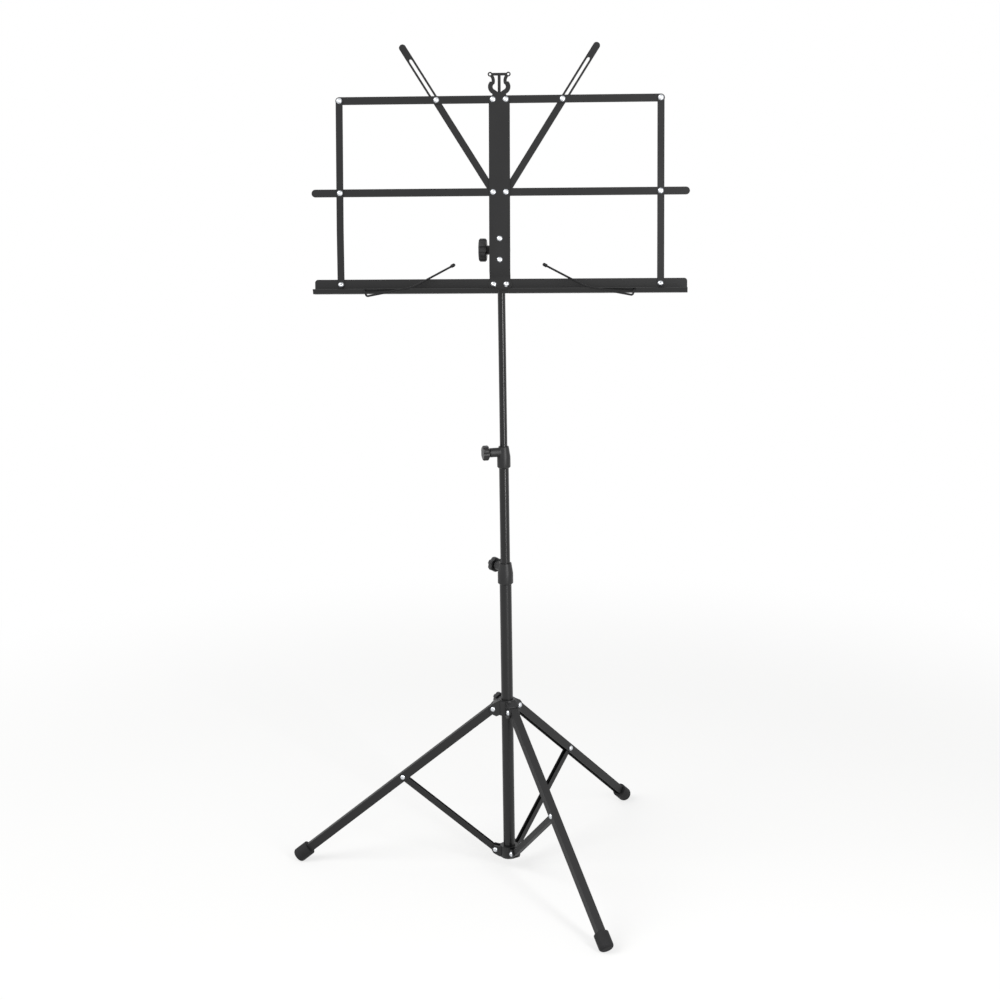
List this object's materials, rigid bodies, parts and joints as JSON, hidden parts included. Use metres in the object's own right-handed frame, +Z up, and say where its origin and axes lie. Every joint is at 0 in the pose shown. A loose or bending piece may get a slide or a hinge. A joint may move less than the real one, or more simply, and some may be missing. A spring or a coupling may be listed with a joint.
{
  "type": "folding music stand",
  "caption": "Folding sheet-music stand: tripod base that folds along a telescopic mast, and a tilting black metal desk whose wings fold up about a centre plate with a lyre ornament.",
  "frame": {"origin": "the mast's axis at floor level", "axes": "+Z up along the mast, +X to the right of a player who faces the desk, +Y away from the player"},
  "size_m": [0.5468, 0.5295, 1.1188],
  "materials": {
    "black_paint": "satin black paint on steel tube and sheet",
    "black_plastic": "moulded black plastic, fine matt grain",
    "rubber": "black rubber, matt",
    "zinc_steel": "bright zinc plated rivets and screws"
  },
  "bodies": {
    "base": {"base_tube": "black_paint", "bottom_hub": "black_plastic", "hub_rivets": "zinc_steel", "lower_clamp": "black_plastic"},
    "collar": {"leg_collar": "black_plastic", "collar_rivets": "zinc_steel"},
    "collar_knob": {"collar_knob": "black_plastic", "collar_screw": "zinc_steel"},
    "lower_knob": {"lower_knob": "black_plastic", "lower_screw": "zinc_steel"},
    "middle": {"mid_tube": "black_paint", "mid_tube_bush": "black_plastic", "upper_clamp": "black_plastic"},
    "upper_knob": {"upper_knob": "black_plastic", "upper_screw": "zinc_steel"},
    "rod_bush": {"rod_bush": "black_plastic"},
    "rod": {"top_rod": "black_paint", "rod_eye": "black_plastic"},
    "desk": {"centre_plate": "black_paint", "tilt_bracket": "black_paint", "bracket_rivets": "zinc_steel", "centre_rivets": "zinc_steel", "tilt_nut": "zinc_steel"},
    "tilt_knob": {"tilt_knob": "black_plastic", "tilt_screw": "zinc_steel"},
    "strut_left": {"strut_left": "black_paint"},
    "leg_left": {"leg_left": "black_paint", "foot_left": "rubber", "brace_rivet_left": "zinc_steel"},
    "strut_rear": {"strut_rear": "black_paint"},
    "leg_rear": {"leg_rear": "black_paint", "foot_rear": "rubber", "brace_rivet_rear": "zinc_steel"},
    "strut_front": {"strut_front": "black_paint"},
    "leg_front": {"leg_front": "black_paint", "foot_front": "rubber", "brace_rivet_front": "zinc_steel"},
    "tray_left": {"tray_left": "black_paint"},
    "mid_bar_left": {"mid_bar_left": "black_paint"},
    "top_bar_left": {"top_bar_left": "black_paint", "slot_rivet_left": "zinc_steel"},
    "side_strip_left": {"side_strip_left": "black_paint", "outer_rivets_left": "zinc_steel"},
    "slotted_arm_left": {"slotted_arm_left": "black_paint"},
    "page_wire_left": {"page_wire_left": "black_paint", "wire_tip_left": "black_plastic"},
    "tray_right": {"tray_right": "black_paint"},
    "mid_bar_right": {"mid_bar_right": "black_paint"},
    "top_bar_right": {"top_bar_right": "black_paint", "slot_rivet_right": "zinc_steel"},
    "side_strip_right": {"side_strip_right": "black_paint", "outer_rivets_right": "zinc_steel"},
    "slotted_arm_right": {"slotted_arm_right": "black_paint"},
    "page_wire_right": {"page_wire_right": "black_paint", "wire_tip_right": "black_plastic"}
  },
  "joints": [
    {"name": "fold", "type": "hinge", "parent": "base", "child": "strut_left", "pos_m": [-0.01898, 0.00076, 0.02591], "axis": [0.0401, 0.9992, 0], "range_deg": [0, 47]},
    {"name": "strut_left_leg", "type": "hinge", "parent": "strut_left", "child": "leg_left", "pos_m": [-0.14633, 0.00588, 0.12912], "axis": [0.0401, 0.9992, 0], "range_deg": [-94, 0]},
    {"name": "leg_left_collar", "type": "hinge", "parent": "leg_left", "child": "collar", "pos_m": [-0.01898, 0.00076, 0.23233], "axis": [0.0401, 0.9992, 0], "range_deg": [0, 47]},
    {"name": "fold_rear", "type": "hinge", "parent": "base", "child": "strut_rear", "pos_m": [0.01015, 0.01606, 0.02591], "axis": [0.8453, -0.5344, 0], "range_deg": [0, 47]},
    {"name": "strut_rear_leg", "type": "hinge", "parent": "strut_rear", "child": "leg_rear", "pos_m": [0.07826, 0.12379, 0.12912], "axis": [0.8453, -0.5344, 0], "range_deg": [-94, 0]},
    {"name": "fold_front", "type": "hinge", "parent": "base", "child": "strut_front", "pos_m": [0.00883, -0.01682, 0.02591], "axis": [-0.8854, -0.4648, 0], "range_deg": [0, 47]},
    {"name": "strut_front_leg", "type": "hinge", "parent": "strut_front", "child": "leg_front", "pos_m": [0.06808, -0.12967, 0.12912], "axis": [-0.8854, -0.4648, 0], "range_deg": [-94, 0]},
    {"name": "collar_knob_turn", "type": "hinge", "parent": "collar", "child": "collar_knob", "pos_m": [-0.01398, 0.02073, 0.24033], "axis": [-0.5592, 0.829, 0], "range_deg": [0, 360]},
    {"name": "lower_knob_turn", "type": "hinge", "parent": "base", "child": "lower_knob", "pos_m": [-0.01231, 0.01576, 0.43041], "axis": [-0.6157, 0.788, 0], "range_deg": [0, 360]},
    {"name": "mid_slide", "type": "slide", "parent": "base", "child": "middle", "axis": [0, 0, 1], "range_m": [-0.13, 0.18]},
    {"name": "upper_knob_turn", "type": "hinge", "parent": "middle", "child": "upper_knob", "pos_m": [-0.01913, -0.00585, 0.59041], "axis": [-0.9563, -0.2924, 0], "range_deg": [0, 360]},
    {"name": "rod_slide", "type": "slide", "parent": "middle", "child": "rod_bush", "axis": [0, 0, 1], "range_m": [-0.19, 0.04]},
    {"name": "swivel", "type": "hinge", "parent": "rod_bush", "child": "rod", "pos_m": [0, 0, 0.50791], "axis": [0, 0, 1], "continuous": true},
    {"name": "tilt", "type": "hinge", "parent": "rod", "child": "desk", "pos_m": [0, 0, 0.85791], "axis": [-1, 0, 0], "range_deg": [-10, 80]},
    {"name": "tilt_knob_turn", "type": "hinge", "parent": "desk", "child": "tilt_knob", "pos_m": [-0.02, 0, 0.85791], "axis": [-1, 0, 0], "range_deg": [0, 360]},
    {"name": "wing_left", "type": "hinge", "parent": "desk", "child": "tray_left", "pos_m": [-0.00825, -0.02968, 0.81768], "axis": [0, 0.9854, -0.1702], "range_deg": [0, 78]},
    {"name": "mid_bar_left_turn", "type": "hinge", "parent": "desk", "child": "mid_bar_left", "pos_m": [-0.00825, -0.00968, 0.93346], "axis": [0, 0.9854, -0.1702], "range_deg": [0, 78]},
    {"name": "top_bar_left_turn", "type": "hinge", "parent": "desk", "child": "top_bar_left", "pos_m": [-0.00825, 0.01032, 1.04925], "axis": [0, 0.9854, -0.1702], "range_deg": [0, 78]},
    {"name": "side_strip_left_turn", "type": "hinge", "parent": "tray_left", "child": "side_strip_left", "pos_m": [-0.206, -0.02968, 0.81768], "axis": [0, 0.9854, -0.1702], "range_deg": [-78, 0]},
    {"name": "slotted_arm_left_turn", "type": "hinge", "parent": "desk", "child": "slotted_arm_left", "pos_m": [-0.00825, -0.00968, 0.93346], "axis": [0, 0.9854, -0.1702], "range_deg": [0, 27.16]},
    {"name": "page_wire_left_turn", "type": "hinge", "parent": "tray_left", "child": "page_wire_left", "pos_m": [-0.173, -0.04443, 0.81175], "axis": [0, -0.9854, 0.1702], "range_deg": [0, 160]},
    {"name": "wing_right", "type": "hinge", "parent": "desk", "child": "tray_right", "pos_m": [0.00825, -0.02968, 0.81768], "axis": [0, -0.9854, 0.1702], "range_deg": [0, 78]},
    {"name": "mid_bar_right_turn", "type": "hinge", "parent": "desk", "child": "mid_bar_right", "pos_m": [0.00825, -0.00968, 0.93346], "axis": [0, -0.9854, 0.1702], "range_deg": [0, 78]},
    {"name": "top_bar_right_turn", "type": "hinge", "parent": "desk", "child": "top_bar_right", "pos_m": [0.00825, 0.01032, 1.04925], "axis": [0, -0.9854, 0.1702], "range_deg": [0, 78]},
    {"name": "side_strip_right_turn", "type": "hinge", "parent": "tray_right", "child": "side_strip_right", "pos_m": [0.206, -0.02968, 0.81768], "axis": [0, -0.9854, 0.1702], "range_deg": [-78, 0]},
    {"name": "slotted_arm_right_turn", "type": "hinge", "parent": "desk", "child": "slotted_arm_right", "pos_m": [0.00825, -0.00968, 0.93346], "axis": [0, -0.9854, 0.1702], "range_deg": [0, 27.16]},
    {"name": "page_wire_right_turn", "type": "hinge", "parent": "tray_right", "child": "page_wire_right", "pos_m": [0.173, -0.04443, 0.81175], "axis": [0, 0.9854, -0.1702], "range_deg": [0, 160]}
  ],
  "couplings": [
    {"joint": "strut_left_leg", "follows": "fold", "ratio": -2},
    {"joint": "leg_left_collar", "follows": "fold", "ratio": 1},
    {"joint": "fold_rear", "follows": "fold", "ratio": 1},
    {"joint": "strut_rear_leg", "follows": "fold", "ratio": -2},
    {"joint": "fold_front", "follows": "fold", "ratio": 1},
    {"joint": "strut_front_leg", "follows": "fold", "ratio": -2},
    {"joint": "mid_bar_left_turn", "follows": "wing_left", "ratio": 1},
    {"joint": "top_bar_left_turn", "follows": "wing_left", "ratio": 1},
    {"joint": "side_strip_left_turn", "follows": "wing_left", "ratio": -1},
    {"joint": "slotted_arm_left_turn", "follows": "wing_left", "ratio": 0.3481},
    {"joint": "mid_bar_right_turn", "follows": "wing_right", "ratio": 1},
    {"joint": "top_bar_right_turn", "follows": "wing_right", "ratio": 1},
    {"joint": "side_strip_right_turn", "follows": "wing_right", "ratio": -1},
    {"joint": "slotted_arm_right_turn", "follows": "wing_right", "ratio": 0.3481}
  ]
}
